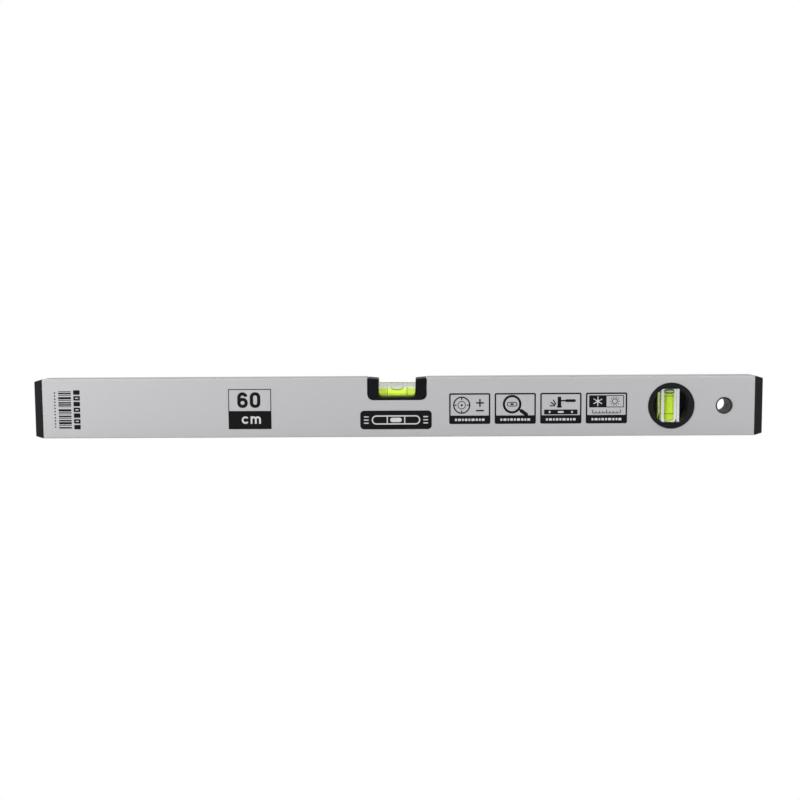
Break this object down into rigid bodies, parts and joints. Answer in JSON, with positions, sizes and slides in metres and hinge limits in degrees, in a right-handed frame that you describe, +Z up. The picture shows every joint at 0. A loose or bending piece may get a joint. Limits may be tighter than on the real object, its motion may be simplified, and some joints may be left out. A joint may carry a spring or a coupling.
{
  "type": "spirit level",
  "caption": "Box-section spirit level with a level vial in a notch in its top, a plumb vial in a round housing and a lined hanging hole.",
  "frame": {"origin": "middle of the base, on the surface the level stands on", "axes": "+X along the level towards the plumb vial, +Y from the front face to the back, +Z up from the base to the level vial"},
  "size_m": [0.6, 0.023, 0.049],
  "materials": {
    "profile_paint": "satin silver-grey powder coat on extruded aluminium",
    "cap_plastic": "black, fine moulded grain",
    "housing_plastic": "black, smooth moulding",
    "screw_steel": "bright zinc plate",
    "vial_acrylic": "clear polished acrylic",
    "vial_liquid": "yellow-green liquid",
    "bubble_air": "air bubble in the liquid",
    "line_ink": "dark reading line",
    "vial_seal": "pressed acrylic plug"
  },
  "bodies": {
    "level": {"aluminium_profile": "profile_paint", "end_cap_left": "cap_plastic", "end_cap_right": "cap_plastic", "level_vial_holder": "housing_plastic", "level_vial_retainer": "housing_plastic", "retainer_screw_left": "screw_steel", "retainer_screw_right": "screw_steel", "level_vial_block": "vial_acrylic", "level_vial_plug": "vial_seal", "level_vial_liquid": "vial_liquid", "level_vial_line_left": "line_ink", "level_vial_line_right": "line_ink", "plumb_housing_front": "housing_plastic", "plumb_housing_rear": "housing_plastic", "plumb_vial_block": "vial_acrylic", "plumb_vial_plug": "vial_seal", "plumb_vial_liquid": "vial_liquid", "plumb_vial_line_lower": "line_ink", "plumb_vial_line_upper": "line_ink", "hang_bush_front": "housing_plastic", "hang_bush_rear": "housing_plastic"},
    "level_bubble": {"level_vial_bubble": "bubble_air"},
    "plumb_bubble": {"plumb_vial_bubble": "bubble_air"}
  },
  "joints": [
    {"name": "level_bubble_slide", "type": "slide", "parent": "level", "child": "level_bubble", "axis": [1, 0, 0], "range_m": [-0.01, 0.01], "stiffness_N_per_m": 0.5},
    {"name": "plumb_bubble_slide", "type": "slide", "parent": "level", "child": "plumb_bubble", "axis": [0, 0, 1], "range_m": [-0.0205, 0], "stiffness_N_per_m": 0.5, "springref_m": 0.01}
  ]
}
